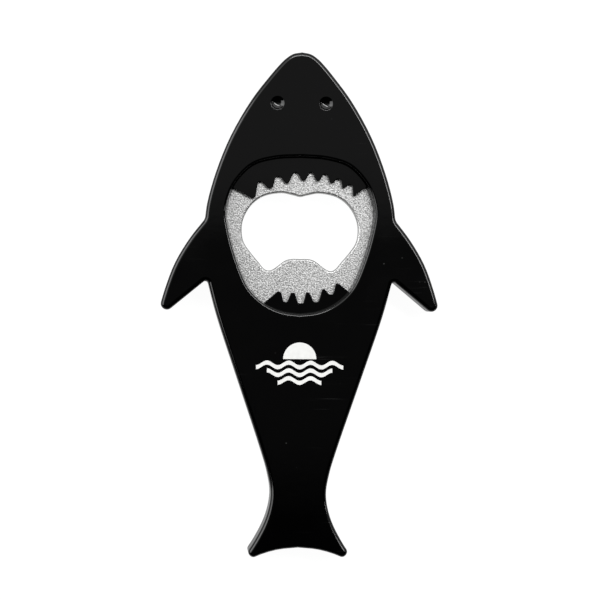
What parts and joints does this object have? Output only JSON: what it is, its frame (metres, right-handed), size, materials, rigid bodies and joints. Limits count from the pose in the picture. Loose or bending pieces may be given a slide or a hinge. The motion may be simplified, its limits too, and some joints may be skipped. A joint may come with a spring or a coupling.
{
  "type": "bottle opener",
  "caption": "Flat shark-shaped bottle opener: black moulded shells clamp a steel plate whose cap aperture shows in the toothed mouth.",
  "frame": {"origin": "on the back face, halfway between the nose and the tail tips and on the centreline", "axes": "+Y towards the nose, +Z out of the front face, X from fin to fin"},
  "size_m": [0.077, 0.14, 0.0091],
  "materials": {
    "shell_plastic": "moulded gloss black",
    "plate_steel": "bead-blasted stainless steel",
    "screw_zinc": "bright zinc plate",
    "print_ink": "white pad-printed ink"
  },
  "bodies": {
    "root": {"front_shell": "shell_plastic", "back_shell": "shell_plastic", "opener_plate": "plate_steel", "screw_upper_left": "screw_zinc", "screw_upper_right": "screw_zinc", "screw_lower_left": "screw_zinc", "screw_lower_right": "screw_zinc", "screw_tail": "screw_zinc", "print_sun": "print_ink", "print_wave_upper": "print_ink", "print_wave_middle": "print_ink", "print_wave_lower": "print_ink"}
  },
  "joints": []
}
